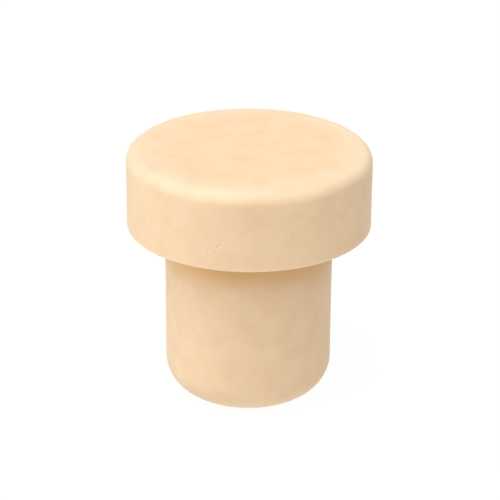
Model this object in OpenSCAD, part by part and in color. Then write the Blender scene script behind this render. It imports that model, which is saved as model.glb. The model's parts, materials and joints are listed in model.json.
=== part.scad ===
// T-shaped silicone bottle stopper, moulded as one solid piece.
// The foot stands on z = 0 and the axis is Z, with the head on top.
// The straight shank is pushed into the bottle's neck until the head rests on the rim.

/* [Head] */
// Diameter of the head that the fingers grip
head_d = 29; // [27:0.5:40]
// Thickness of the head
head_h = 9.5; // [5:0.1:16]
// Radius of the head's upper edge
head_top_r = 1.6; // [0.3:0.1:3.5]
// Radius of the head's lower edge
head_low_r = 0.2; // [0.1:0.1:1]

/* [Shank] */
// Diameter of the straight shank that seals in the neck
shank_d = 20; // [16:0.5:22]
// Length of the shank below the head
shank_l = 21.4; // [12:0.1:35]
// Radius of the round that leads the foot into the neck
foot_r = 4.2; // [0.5:0.1:7]
// Radius of the inside corner where the shank meets the head
root_r = 0.5; // [0.2:0.1:1]

/* [Colour] */
// Colour of the silicone, which is dyed all through
silicone_color = "#F1D1AA";

/* [Hidden] */
// Segments in a full circle
$fn = 128;

head_r = head_d / 2;
shank_r = shank_d / 2;
top_z = shank_l + head_h;

// What a round of radius r leaves out of a square corner at the origin,
// where the solid lies towards -X and +Y
module round_waste(r) {
    difference() {
        translate([-r, 0]) square(r);
        translate([-r, r]) circle(r);
    }
}

// Half section through the axis, before its outer edges are rounded.
// The small square at the root is hollowed to the inside corner's radius.
module blank_section() {
    square([shank_r, shank_l]);
    translate([0, shank_l]) square([head_r, head_h]);
    difference() {
        translate([shank_r, shank_l - root_r]) square(root_r);
        translate([shank_r + root_r, shank_l - root_r]) circle(root_r);
    }
}

module stopper() {
    color(silicone_color)
        rotate_extrude()
            difference() {
                blank_section();
                translate([shank_r, 0]) round_waste(foot_r);
                translate([head_r, shank_l]) round_waste(head_low_r);
                translate([head_r, top_z]) mirror([0, 1]) round_waste(head_top_r);
            }
}

stopper();
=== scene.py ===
"""Dresses the moulded silicone bottle stopper and sets it on a small studio stage."""

import json
import math
from collections import namedtuple

import bmesh
import bpy
from bpy.props import (
    FloatProperty, FloatVectorProperty, IntProperty, PointerProperty, StringProperty,
)
from mathutils import Matrix, Vector


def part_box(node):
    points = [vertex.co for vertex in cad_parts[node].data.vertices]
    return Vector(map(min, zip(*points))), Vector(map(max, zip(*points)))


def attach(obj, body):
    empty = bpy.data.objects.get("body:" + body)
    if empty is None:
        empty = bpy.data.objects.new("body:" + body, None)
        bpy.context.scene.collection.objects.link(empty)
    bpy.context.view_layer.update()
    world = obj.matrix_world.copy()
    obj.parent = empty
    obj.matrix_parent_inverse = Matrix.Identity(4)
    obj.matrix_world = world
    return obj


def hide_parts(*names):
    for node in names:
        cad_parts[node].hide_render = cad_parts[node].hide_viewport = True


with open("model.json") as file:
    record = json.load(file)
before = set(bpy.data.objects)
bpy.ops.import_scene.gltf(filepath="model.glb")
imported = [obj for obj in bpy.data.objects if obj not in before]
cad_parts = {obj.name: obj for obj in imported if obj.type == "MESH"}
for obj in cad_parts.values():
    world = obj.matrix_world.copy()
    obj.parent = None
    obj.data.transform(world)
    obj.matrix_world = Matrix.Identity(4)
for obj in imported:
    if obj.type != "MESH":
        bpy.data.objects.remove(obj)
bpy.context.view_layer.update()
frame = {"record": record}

bl_info = {
    "name": "Silicone bottle stopper",
    "version": (1, 0, 0),
    "blender": (4, 5, 0),
    "location": "View3D > Sidebar > Stopper",
    "description": "Models a moulded silicone bottle stopper, its finish and a small stage for it",
    "category": "Object",
}

MM = 0.001
NODE_LOW, NODE_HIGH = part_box("stopper")
MOUNTS = {mount["name"]: mount for mount in frame["record"]["mounts"]}

HEAD_RADIUS = (NODE_HIGH.x - NODE_LOW.x) / 2
TOP_Z = NODE_HIGH.z
SHANK_RADIUS = MOUNTS["shank"]["dims"]["r_mm"] * MM
SHANK_LENGTH = MOUNTS["head_underside"]["pos_m"][2]
WALL_MIDDLE_Z = MOUNTS["shank"]["pos_m"][2]
WALL_LENGTH = MOUNTS["shank"]["dims"]["length_mm"] * MM
FOOT_ROUND = WALL_MIDDLE_Z - WALL_LENGTH / 2
ROOT_ROUND = SHANK_LENGTH - WALL_MIDDLE_Z - WALL_LENGTH / 2

# Small nicks that handling leaves in the soft skin, each an oval dimple: its turn round the axis
# from the front in degrees, its height, length and width in mm, its lean from level in degrees,
# and its depth in mm.
Nick = namedtuple("Nick", "turn height length width lean depth")
NICKS = (
    Nick(-18.5, 23.7, 0.65, 0.32, 80.0, 0.12),
    Nick(-13.5, 24.4, 0.85, 0.34, 55.0, 0.12),
    Nick(-21.0, 22.6, 0.50, 0.28, -20.0, 0.08),
    Nick(17.5, 26.3, 0.55, 0.28, 70.0, 0.08),
    Nick(33.0, 25.0, 0.60, 0.30, -48.0, 0.10),
    Nick(-41.0, 10.8, 0.60, 0.30, 30.0, 0.10),
    Nick(35.0, 15.5, 0.50, 0.28, -60.0, 0.08),
    Nick(104.0, 26.4, 0.80, 0.34, 24.0, 0.12),
    Nick(131.0, 9.6, 0.55, 0.28, -35.0, 0.08),
    Nick(178.0, 24.8, 0.60, 0.30, 62.0, 0.10),
    Nick(-92.0, 13.4, 0.65, 0.30, 48.0, 0.10),
    Nick(-128.0, 25.6, 0.55, 0.28, -15.0, 0.10),
)

# The faces round a nick are divided, out to this many times its own size, by this many cuts.
NICK_REACH = 1.9
NICK_CUTS = 3

# How far a speck's full colour reaches from its middle, and where the speck ends, as shares of the
# spacing of the specks.
SPECK_CORE = 0.12
SPECK_END = 0.22

# The point that the camera's distance and height are measured from.
STOPPER_MIDDLE = Vector((0, 0, 15 * MM))

# Wide enough for the floor's border to stay out of sight, in metres.
FLOOR_WIDTH = 20

# The soft lamps, each seen as a wide round disc: where it stands, as its turn round the axis from
# the front and its height over the horizon, how wide it looks, all in degrees, and its strength.
Lamp = namedtuple("Lamp", "name turn height width strength")
LAMPS = (
    Lamp("key", -19, 50, 55, 0.54),
    Lamp("left_high", -60, 69, 30, 0.28),
    Lamp("overhead", 0, 90, 30, 0.26),
    Lamp("right", 90, 52, 30, 0.14),
    Lamp("left_low", -96, 10, 30, 0.29),
    Lamp("right_back", 150, 22, 30, 0.17),
)


class StopperSizes(bpy.types.PropertyGroup):
    """Sizes of the stopper and of the mesh that it is modelled with."""

    head_radius: FloatProperty(
        name="Head radius", description="Radius of the head",
        default=HEAD_RADIUS, unit="LENGTH", precision=5,
    )
    shank_radius: FloatProperty(
        name="Shank radius", description="Radius of the straight shank",
        default=SHANK_RADIUS, unit="LENGTH", precision=5,
    )
    shank_length: FloatProperty(
        name="Shank length", description="Length of the shank below the head",
        default=SHANK_LENGTH, unit="LENGTH", precision=5,
    )
    top_z: FloatProperty(
        name="Height", description="Height of the whole stopper",
        default=TOP_Z, unit="LENGTH", precision=5,
    )
    head_top_round: FloatProperty(
        name="Upper edge", description="Radius of the head's upper edge",
        default=1.6 * MM, unit="LENGTH", precision=5,
    )
    head_low_round: FloatProperty(
        name="Lower edge", description="Radius of the head's lower edge",
        default=0.2 * MM, unit="LENGTH", precision=5,
    )
    foot_round: FloatProperty(
        name="Foot", description="Radius of the round at the foot",
        default=FOOT_ROUND, unit="LENGTH", precision=5,
    )
    root_round: FloatProperty(
        name="Root", description="Radius of the inside corner under the head",
        default=ROOT_ROUND, unit="LENGTH", precision=5,
    )
    columns: IntProperty(
        name="Columns", description="Faces round the stopper, a multiple of four",
        default=360, min=32,
    )
    face_size: FloatProperty(
        name="Face size", description="Height of the faces on the straight walls",
        default=0.26 * MM, unit="LENGTH", precision=5,
    )
    swell_depth: FloatProperty(
        name="Swell depth",
        description="Depth of the gentle swells that moulding leaves in the skin",
        default=0.05 * MM, unit="LENGTH", precision=5,
    )
    swell_width: FloatProperty(
        name="Swell width", description="Width of the gentle swells",
        default=7.0 * MM, unit="LENGTH", precision=5,
    )


class StopperFinish(bpy.types.PropertyGroup):
    """Colours and surface of the silicone."""

    silicone: StringProperty(
        name="Silicone", description="Colour of the silicone, as a hex value",
        default="#F0D1AA",
    )
    dense_patch: StringProperty(
        name="Dense patches", description="Colour where a little more pigment lies",
        default="#EECDA6",
    )
    thin_patch: StringProperty(
        name="Thin patches", description="Colour where a little less pigment lies",
        default="#F2D3AE",
    )
    speck: StringProperty(
        name="Specks", description="Colour of the pigment's fine specks",
        default="#DDB789",
    )
    # Painted highlight: a pale colour along the head's upper and lower rounded edges that stands in
    # for light on those edges.
    painted_highlight: StringProperty(
        name="Bloom", description="Colour of the pale bloom on the handled edges",
        default="#F5E3CC",
    )
    # Painted shade: a deeper colour in the inside corner under the head, where shade falls.
    painted_corner_shade: StringProperty(
        name="Crease", description="Deeper colour in the inside corner, which no hand rubs pale",
        default="#DEAE69",
    )
    # Width of the noise that moves the borders of the painted highlight and painted shade in and
    # out.
    tint_border_width: FloatProperty(
        name="Rub width", description="Width of the patches that hands rub paler",
        default=4.0 * MM, unit="LENGTH", precision=5,
    )
    patch_width: FloatProperty(
        name="Patch width", description="Width of the soft patches of colour",
        default=2.6 * MM, unit="LENGTH", precision=5,
    )
    speck_spacing: FloatProperty(
        name="Speck spacing", description="Spacing of the fine specks",
        default=0.5 * MM, unit="LENGTH", precision=5,
    )
    speck_strength: FloatProperty(
        name="Speck strength", description="How strongly the fine specks show",
        default=0.2, min=0, max=1, subtype="FACTOR",
    )
    grit: FloatProperty(
        name="Grit", description="Width of the grains that the blasted mould leaves",
        default=0.2 * MM, unit="LENGTH", precision=5,
    )
    grit_depth: FloatProperty(
        name="Grit depth", description="Depth of the grains",
        default=0.006 * MM, unit="LENGTH", precision=6,
    )
    roughness: FloatProperty(
        name="Roughness", description="Roughness of the matte skin",
        default=0.6, min=0, max=1, subtype="FACTOR",
    )
    roughness_change: FloatProperty(
        name="Roughness change",
        description="How far the roughness rises and falls with the patches",
        default=0.04, min=0, max=1, subtype="FACTOR",
    )


class StopperStage(bpy.types.PropertyGroup):
    """Floor, lights and camera."""

    floor_color: StringProperty(
        name="Floor", description="Colour of the translucent white floor, as a hex value",
        default="#484848",
    )
    floor_glow: FloatProperty(
        name="Floor glow", description="Light that comes up through the floor",
        default=0.95, min=0,
    )
    brightness: FloatProperty(
        name="Brightness", description="Strength of all the lamps",
        default=1, min=0,
    )
    surroundings: StringProperty(
        name="Surroundings", description="Colour of the dim room round the table, as a hex value",
        default="#F2F2F2",
    )
    surroundings_glow: FloatProperty(
        name="Surroundings glow", description="Strength of the light from the room",
        default=0.05, min=0,
    )
    lens: FloatProperty(
        name="Lens", description="Focal length of the camera",
        default=146.9, unit="CAMERA",
    )
    distance: FloatProperty(
        name="Distance", description="From the camera to the middle of the stopper",
        default=245 * MM, unit="LENGTH", precision=5,
    )
    elevation: FloatProperty(
        name="Elevation", description="Height of the camera over the horizon",
        default=math.radians(24.71), subtype="ANGLE",
    )
    roll: FloatProperty(
        name="Roll", description="Turn of the camera about its own line of sight",
        default=math.radians(0.39), subtype="ANGLE",
    )
    aim: FloatVectorProperty(
        name="Aim", description="Point that the camera looks at",
        default=(0.15 * MM, 0, 17.74 * MM), subtype="XYZ", unit="LENGTH",
    )


def linear(hex_color):
    """An sRGB hex value as linear RGBA."""
    channels = [int(hex_color[i : i + 2], 16) / 255 for i in (1, 3, 5)]
    return [c / 12.92 if c <= 0.04045 else ((c + 0.055) / 1.055) ** 2.4 for c in channels] + [1.0]


def add_node(tree, kind, settings, inputs):
    """Adds a node, sets its settings, and sets or links its inputs, each given by name or place."""
    node = tree.nodes.new(kind)
    for name, value in settings.items():
        setattr(node, name, value)
    for key, value in inputs.items():
        if isinstance(value, bpy.types.NodeSocket):
            tree.links.new(value, node.inputs[key])
        else:
            node.inputs[key].default_value = value
    return node


def deselect_all():
    bpy.ops.object.select_all(action="DESELECT")


def select_in_edit(kind, test):
    """Selects the edit mesh's "verts", "edges" or "faces" that pass the test, and nothing else."""
    bpy.ops.mesh.select_mode(type={"verts": "VERT", "edges": "EDGE", "faces": "FACE"}[kind])
    bpy.ops.mesh.select_all(action="DESELECT")
    mesh = bpy.context.edit_object.data
    shape = bmesh.from_edit_mesh(mesh)
    for element in getattr(shape, kind):
        if test(element):
            element.select_set(True)
    shape.select_flush_mode()
    bmesh.update_edit_mesh(mesh)


def near(a, b, slack=1e-6):
    return abs(a - b) < slack


def ring_at(radius, height):
    """A test for the edges that lie along one circle round the axis."""
    def test(edge):
        return all(near(v.co.z, height) and near(v.co.xy.length, radius) for v in edge.verts)
    return test


def round_edge(radius, height, round_radius, segments):
    """Rounds the sharp edge that runs round the axis."""
    select_in_edit("edges", ring_at(radius, height))
    bpy.ops.mesh.bevel(
        offset=round_radius, offset_type="OFFSET", segments=segments, profile=0.5,
        affect="EDGES", clamp_overlap=True,
    )


def divide_wall(radius, low, high, face_size):
    """Divides the tall faces of a straight wall into rows."""
    def upright(edge):
        heights = sorted(v.co.z for v in edge.verts)
        on_wall = all(near(v.co.xy.length, radius) for v in edge.verts)
        return on_wall and near(heights[0], low) and near(heights[1], high)
    select_in_edit("edges", upright)
    bpy.ops.mesh.subdivide(number_cuts=round((high - low) / face_size) - 1)


def divide_ledge(height, inner, outer, face_size):
    """Divides the long faces of a flat ledge into rings."""
    def along_radius(edge):
        radii = sorted(v.co.xy.length for v in edge.verts)
        level = all(near(v.co.z, height) for v in edge.verts)
        return level and near(radii[0], inner) and near(radii[1], outer)
    select_in_edit("edges", along_radius)
    bpy.ops.mesh.subdivide(number_cuts=round((outer - inner) / face_size) - 1)


def fill_end(radius, height):
    """Replaces a flat end's one big face with a grid of small ones."""
    def whole_end(face):
        return len(face.verts) > 4 and near(face.calc_center_median().z, height)
    select_in_edit("faces", whole_end)
    bpy.ops.mesh.delete(type="ONLY_FACE")
    select_in_edit("edges", ring_at(radius, height))
    bpy.ops.mesh.fill_grid()


def nick_distance(nick, place):
    """How far a place on a wall is from a nick's middle: 0 there, 1 at the nick's rim."""
    turn = math.remainder(math.atan2(place.x, -place.y) - math.radians(nick.turn), math.tau)
    around = turn * place.xy.length
    up = place.z - nick.height * MM
    cosine, sine = math.cos(math.radians(nick.lean)), math.sin(math.radians(nick.lean))
    along, across = around * cosine + up * sine, up * cosine - around * sine
    return math.hypot(2 * along / (nick.length * MM), 2 * across / (nick.width * MM))


def push_in(stopper, weigh, depth, middle, texture=None):
    """Pushes the skin in along its normals with a Displace modifier, where weigh gives a weight."""
    group = stopper.vertex_groups.new(name="pushed")
    for vertex in stopper.data.vertices:
        weight = weigh(vertex.co)
        if weight > 0:
            group.add([vertex.index], weight, "REPLACE")
    bpy.ops.object.modifier_add(type="DISPLACE")
    displace = stopper.modifiers[-1]
    displace.vertex_group = group.name
    displace.strength = depth
    displace.mid_level = middle
    if texture:
        displace.texture = texture
        displace.texture_coords = "LOCAL"
    bpy.ops.object.modifier_apply(modifier=displace.name)
    stopper.vertex_groups.clear()


def press_nicks(stopper):
    """Gives the skin finer faces round the nicks and presses them in."""
    deepest = max(nick.depth for nick in NICKS)

    def by_a_nick(face):
        middle = face.calc_center_median()
        return any(nick_distance(nick, middle) < NICK_REACH for nick in NICKS)

    def share_of_deepest(place):
        depths = (nick.depth * max(0, 1 - nick_distance(nick, place) ** 2) ** 2 for nick in NICKS)
        return max(depths) / deepest

    bpy.ops.object.mode_set(mode="EDIT")
    select_in_edit("faces", by_a_nick)
    bpy.ops.mesh.subdivide(number_cuts=NICK_CUTS)
    bpy.ops.object.mode_set(mode="OBJECT")
    # With no texture a Displace modifier sees a height of 1, so a middle of 2 pushes in by the
    # whole depth.
    push_in(stopper, share_of_deepest, deepest * MM, middle=2)


def swell_skin(stopper, sizes):
    """Leaves the skin gently uneven, as a moulded rubber is. The foot's flat stays level."""
    def off_the_foot(place):
        return 0 if near(place.z, 0) else 1

    swells = bpy.data.textures.new("swells", "CLOUDS")
    swells.noise_scale = sizes.swell_width
    swells.noise_depth = 1
    # The texture's height is 0 to 1, so a middle of 1 never lets the skin out past its size.
    push_in(stopper, off_the_foot, sizes.swell_depth, middle=1, texture=swells)
    bpy.data.textures.remove(swells)


class STOPPER_OT_mould(bpy.types.Operator):
    """Model the shank, the head drawn out of it, the rounded edges and the slightly uneven skin"""

    bl_idname = "stopper.mould"
    bl_label = "Mould the stopper"

    def execute(self, context):
        sizes = context.scene.stopper_sizes
        stopper = model_stopper(sizes)
        stopper.data.materials.append(moulded_silicone(context.scene.stopper_finish, sizes))
        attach(stopper, "root")
        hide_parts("stopper")
        return {"FINISHED"}


def model_stopper(sizes):
    head_radius, shank_radius = sizes.head_radius, sizes.shank_radius
    underside_z, top_z = sizes.shank_length, sizes.top_z

    # The shank, and the head drawn out of its upper end.
    deselect_all()
    bpy.ops.mesh.primitive_cylinder_add(
        vertices=sizes.columns, radius=shank_radius, depth=underside_z, end_fill_type="NGON",
        location=(0, 0, underside_z / 2),
    )
    bpy.ops.object.transform_apply(location=True, rotation=True, scale=True)
    stopper = bpy.context.object
    stopper.name = stopper.data.name = "stopper_body"
    bpy.ops.object.mode_set(mode="EDIT")
    select_in_edit("faces", lambda face: face.normal.z > 0.5)
    widen = head_radius / shank_radius
    bpy.ops.mesh.extrude_region_move()
    bpy.ops.transform.resize(value=(widen, widen, 1), center_override=(0, 0, underside_z))
    bpy.ops.mesh.extrude_region_move(
        TRANSFORM_OT_translate={"value": (0, 0, top_z - underside_z)},
    )

    # The four rounds.
    round_edge(head_radius, top_z, sizes.head_top_round, segments=14)
    round_edge(head_radius, underside_z, sizes.head_low_round, segments=4)
    round_edge(shank_radius, underside_z, sizes.root_round, segments=5)
    round_edge(shank_radius, 0, sizes.foot_round, segments=24)

    # Small faces all over, for the swells and the nicks to bend.
    divide_wall(
        head_radius, underside_z + sizes.head_low_round, top_z - sizes.head_top_round,
        sizes.face_size,
    )
    divide_wall(shank_radius, sizes.foot_round, underside_z - sizes.root_round, sizes.face_size)
    divide_ledge(
        underside_z, shank_radius + sizes.root_round, head_radius - sizes.head_low_round,
        sizes.face_size,
    )
    fill_end(head_radius - sizes.head_top_round, top_z)
    fill_end(shank_radius - sizes.foot_round, 0)

    bpy.ops.mesh.select_all(action="SELECT")
    bpy.ops.mesh.normals_make_consistent(inside=False)
    bpy.ops.object.mode_set(mode="OBJECT")
    press_nicks(stopper)
    swell_skin(stopper, sizes)
    bpy.ops.object.shade_smooth()
    return stopper


def paint_edge_highlight_and_shade(tree, place, color, finish, sizes):
    """Tints a colour along the stopper's corners, by the distance from each in the half section:
    the outer edges with a painted highlight, a pale band which reaches over the rim of the head's
    top, and the inside corner with painted shade, a deeper colour."""
    split = add_node(tree, "ShaderNodeSeparateXYZ", {}, {"Vector": place})
    flat = add_node(
        tree, "ShaderNodeCombineXYZ", {}, {"X": split.outputs["X"], "Y": split.outputs["Y"]},
    )
    from_axis = add_node(
        tree, "ShaderNodeVectorMath", {"operation": "LENGTH"}, {0: flat.outputs["Vector"]},
    )
    half_section = add_node(
        tree, "ShaderNodeCombineXYZ", {},
        {"X": from_axis.outputs["Value"], "Y": split.outputs["Z"]},
    )

    # Noise a few millimetres wide moves the borders of the painted highlight and shade in and out.
    border_noise = add_node(
        tree, "ShaderNodeTexNoise", {},
        {"Vector": place, "Scale": 1 / finish.tint_border_width, "Detail": 2.0, "Roughness": 0.5},
    )
    in_and_out = add_node(
        tree, "ShaderNodeMath", {"operation": "SUBTRACT"}, {0: border_noise.outputs["Fac"], 1: 0.5},
    )

    # Each corner's radius and height, how far its tint reaches along the flat and along the wall,
    # the share of that reach that is tinted in full, how unevenly the tint ends, how strong it is,
    # and its colour.
    head_radius, shank_radius = sizes.head_radius, sizes.shank_radius
    underside_z, top_z = sizes.shank_length, sizes.top_z
    for radius, height, flat_reach, wall_reach, full, uneven, strength, tint in (
        # Painted highlight along the head's upper edge.
        (head_radius, top_z, 5.0 * MM, 1.6 * MM, 0.25, 1.2, 0.28, finish.painted_highlight),
        # Painted highlight along the head's lower edge.
        (head_radius, underside_z, 0.6 * MM, 0.6 * MM, 0.3, 1.0, 0.25, finish.painted_highlight),
        # Painted shade in the inside corner under the head.
        (shank_radius, underside_z, 3.5 * MM, 6.0 * MM, 0.3, 0.2, 0.65, finish.painted_corner_shade),
    ):
        reach = (1 / flat_reach, 1 / wall_reach, 0)
        scaled = add_node(
            tree, "ShaderNodeVectorMath", {"operation": "MULTIPLY"},
            {0: half_section.outputs["Vector"], 1: reach},
        )
        away = add_node(
            tree, "ShaderNodeVectorMath", {"operation": "DISTANCE"},
            {0: scaled.outputs["Vector"], 1: (radius * reach[0], height * reach[1], 0)},
        )
        border = add_node(
            tree, "ShaderNodeMath", {"operation": "MULTIPLY_ADD"},
            {0: in_and_out.outputs["Value"], 1: uneven, 2: away.outputs["Value"]},
        )
        amount = add_node(
            tree, "ShaderNodeMapRange", {"interpolation_type": "SMOOTHSTEP"},
            {"Value": border.outputs["Value"], "From Min": full, "From Max": 1.0,
             "To Min": strength, "To Max": 0.0},
        )
        tinted = add_node(
            tree, "ShaderNodeMix", {"data_type": "RGBA"},
            {0: amount.outputs["Result"], 6: color, 7: linear(tint)},
        )
        color = tinted.outputs[2]
    return color


def moulded_silicone(finish, sizes):
    """Silicone rubber, compression moulded in a blasted steel mould. The skin is matte and fine
    grained, the pigment lies in faint soft patches and specks, and light sinks in a little, so that
    shadows stay warm. A painted highlight, a pale band, lies along the outer edges, and painted
    shade, a deeper colour, lies in the inside corner under the head."""
    material = bpy.data.materials.new("moulded_silicone")
    material.use_nodes = True
    tree = material.node_tree
    tree.nodes.clear()
    place = add_node(tree, "ShaderNodeTexCoord", {}, {}).outputs["Object"]

    # Patches a few millimetres wide, from pigment that was milled into the gum unevenly: denser
    # where the noise is low and thinner where it is high.
    patches = add_node(
        tree, "ShaderNodeTexNoise", {},
        {"Vector": place, "Scale": 1 / finish.patch_width, "Detail": 3.0, "Roughness": 0.55},
    ).outputs["Fac"]
    color = linear(finish.silicone)
    for start, end, tint in ((0.5, 0.35, finish.dense_patch), (0.5, 0.65, finish.thin_patch)):
        amount = add_node(
            tree, "ShaderNodeMapRange", {"interpolation_type": "SMOOTHSTEP"},
            {"Value": patches, "From Min": start, "From Max": end},
        )
        patchy = add_node(
            tree, "ShaderNodeMix", {"data_type": "RGBA"},
            {0: amount.outputs["Result"], 6: color, 7: linear(tint)},
        )
        color = patchy.outputs[2]

    # Specks of pigment are under 0.1 mm across. These are twice as coarse, so that they show.
    specks = add_node(
        tree, "ShaderNodeTexVoronoi", {},
        {"Vector": place, "Scale": 1 / finish.speck_spacing, "Randomness": 1.0},
    )
    amount = add_node(
        tree, "ShaderNodeMapRange", {"interpolation_type": "SMOOTHSTEP"},
        {"Value": specks.outputs["Distance"], "From Min": SPECK_CORE, "From Max": SPECK_END,
         "To Min": finish.speck_strength, "To Max": 0.0},
    )
    speckled = add_node(
        tree, "ShaderNodeMix", {"data_type": "RGBA"},
        {0: amount.outputs["Result"], 6: color, 7: linear(finish.speck)},
    )
    color = paint_edge_highlight_and_shade(tree, place, speckled.outputs[2], finish, sizes)

    # Blast grit leaves grains under 0.1 mm across. These are twice as coarse, so that they show.
    grit = add_node(
        tree, "ShaderNodeTexNoise", {},
        {"Vector": place, "Scale": 1 / finish.grit, "Detail": 2.0, "Roughness": 0.6},
    )
    bump = add_node(
        tree, "ShaderNodeBump", {},
        {"Height": grit.outputs["Fac"], "Distance": finish.grit_depth, "Strength": 1.0},
    )
    sheen_patches = add_node(
        tree, "ShaderNodeMapRange", {"interpolation_type": "SMOOTHSTEP"},
        {"Value": patches, "From Min": 0.3, "From Max": 0.7,
         "To Min": finish.roughness - finish.roughness_change,
         "To Max": finish.roughness + finish.roughness_change},
    )
    shader = add_node(
        tree, "ShaderNodeBsdfPrincipled", {},
        {"Base Color": color, "Metallic": 0.0, "Roughness": sheen_patches.outputs["Result"],
         "Normal": bump.outputs["Normal"], "IOR": 1.41, "Subsurface Weight": 0.25,
         "Subsurface Radius": (1.0, 0.5, 0.25), "Subsurface Scale": 1.0 * MM},
    )
    add_node(tree, "ShaderNodeOutputMaterial", {}, {"Surface": shader.outputs["BSDF"]})
    return material


class STOPPER_OT_stage(bpy.types.Operator):
    """Set the pale floor, the soft lights and the camera"""

    bl_idname = "stopper.stage"
    bl_label = "Set the stage"

    def execute(self, context):
        stage = context.scene.stopper_stage
        add_floor(stage)
        add_lights(context.scene, stage)
        add_camera(context.scene, stage)
        context.scene.view_settings.view_transform = "Standard"
        return {"FINISHED"}


def add_floor(stage):
    """A wide sheet of opal acrylic, cast with a matte face and lit evenly from below, so that it
    shows as plain white and takes only faint shadows."""
    deselect_all()
    bpy.ops.mesh.primitive_plane_add(size=FLOOR_WIDTH)
    floor = bpy.context.object
    floor.name = "floor"
    material = bpy.data.materials.new("opal_acrylic")
    material.use_nodes = True
    tree = material.node_tree
    tree.nodes.clear()
    shader = add_node(
        tree, "ShaderNodeBsdfPrincipled", {},
        {"Base Color": linear(stage.floor_color), "Roughness": 1.0, "Specular IOR Level": 0.0,
         "Emission Color": (1, 1, 1, 1), "Emission Strength": stage.floor_glow},
    )
    add_node(tree, "ShaderNodeOutputMaterial", {}, {"Surface": shader.outputs["BSDF"]})
    floor.data.materials.append(material)


def add_lights(scene, stage):
    world = bpy.data.worlds.new("white_studio")
    scene.world = world
    world.use_nodes = True
    tree = world.node_tree
    tree.nodes.clear()
    room = add_node(
        tree, "ShaderNodeBackground", {},
        {"Color": linear(stage.surroundings), "Strength": stage.surroundings_glow},
    )
    add_node(tree, "ShaderNodeOutputWorld", {}, {"Surface": room.outputs["Background"]})
    for lamp in LAMPS:
        bpy.ops.object.light_add(
            type="SUN", rotation=(math.radians(90 - lamp.height), 0, math.radians(lamp.turn)),
        )
        light = bpy.context.object
        light.name = lamp.name
        light.data.energy = math.pi * stage.brightness * lamp.strength
        light.data.angle = math.radians(lamp.width)


def add_camera(scene, stage):
    outward = Vector((0, -math.cos(stage.elevation), math.sin(stage.elevation)))
    place = STOPPER_MIDDLE + stage.distance * outward
    bpy.ops.object.camera_add(location=place)
    camera = bpy.context.object
    camera.name = "camera"
    sight = (Vector(stage.aim) - place).to_track_quat("-Z", "Y").to_matrix()
    camera.rotation_euler = (sight @ Matrix.Rotation(stage.roll, 3, "Z")).to_euler()
    camera.data.lens = stage.lens
    camera.data.sensor_width = 36
    camera.data.clip_start = 0.01
    camera.data.clip_end = 100
    scene.camera = camera


class STOPPER_PT_panel(bpy.types.Panel):
    """The stopper's sizes, finish and stage"""

    bl_idname = "STOPPER_PT_panel"
    bl_label = "Bottle stopper"
    bl_space_type = "VIEW_3D"
    bl_region_type = "UI"
    bl_category = "Stopper"

    def draw(self, context):
        for operator in OPERATORS:
            self.layout.operator(operator.bl_idname)
        for group_name in GROUPS:
            group = getattr(context.scene, group_name)
            box = self.layout.box()
            for name in group.bl_rna.properties.keys():
                if name not in ("rna_type", "name"):
                    box.prop(group, name)


GROUPS = {
    "stopper_sizes": StopperSizes,
    "stopper_finish": StopperFinish,
    "stopper_stage": StopperStage,
}
OPERATORS = (STOPPER_OT_mould, STOPPER_OT_stage)
CLASSES = (*GROUPS.values(), *OPERATORS, STOPPER_PT_panel)


def register():
    for cls in CLASSES:
        bpy.utils.register_class(cls)
    for name, group in GROUPS.items():
        setattr(bpy.types.Scene, name, PointerProperty(type=group))


def unregister():
    for name in GROUPS:
        delattr(bpy.types.Scene, name)
    for cls in reversed(CLASSES):
        bpy.utils.unregister_class(cls)


def main():
    register()
    bpy.ops.stopper.mould()
    bpy.ops.stopper.stage()


if __name__ == "__main__":
    main()
